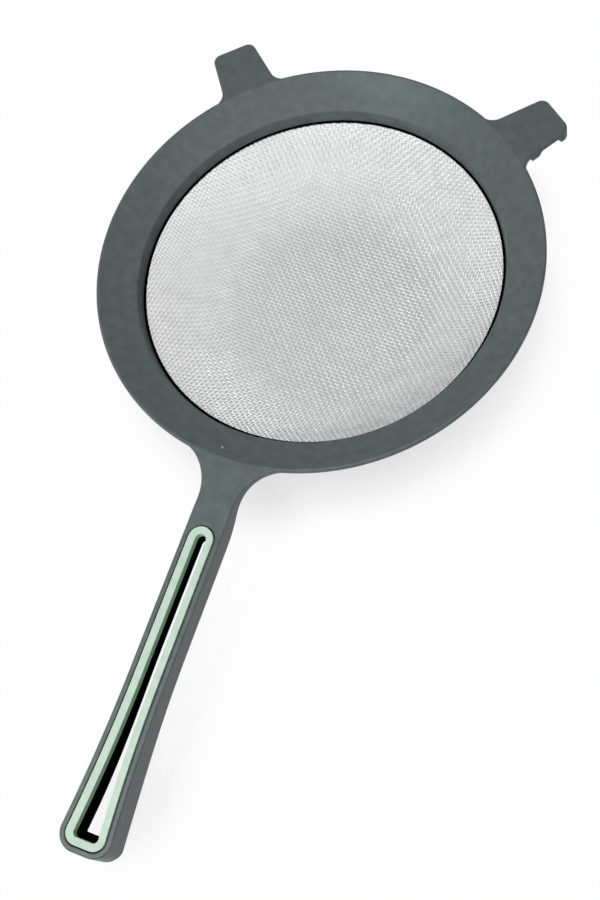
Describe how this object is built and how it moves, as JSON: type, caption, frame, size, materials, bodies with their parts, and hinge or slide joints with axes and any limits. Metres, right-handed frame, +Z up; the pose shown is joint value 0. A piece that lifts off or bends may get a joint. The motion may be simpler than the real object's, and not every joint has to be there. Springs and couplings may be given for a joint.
{
  "type": "strainer",
  "caption": "Hand-held strainer for sifting flour: a moulded funnel rim with rest ears and a slotted handle carries a shallow bowl of woven wire cloth.",
  "frame": {"origin": "centre of the bowl's flat bottom, on the surface that the strainer stands on", "axes": "+Z up along the bowl's axis, -Y along the handle, +X to the right seen from the handle's end"},
  "size_m": [0.2, 0.3682, 0.0432],
  "materials": {
    "frame_plastic": "fine moulded matt",
    "inlay_rubber": "soft satin",
    "wire_cloth": "drawn wire, plain weave"
  },
  "bodies": {
    "root": {"rim_frame": "frame_plastic", "clamp_ring": "frame_plastic", "mesh_bowl": "wire_cloth", "handle_inlay": "inlay_rubber", "handle_back": "frame_plastic"}
  },
  "joints": []
}
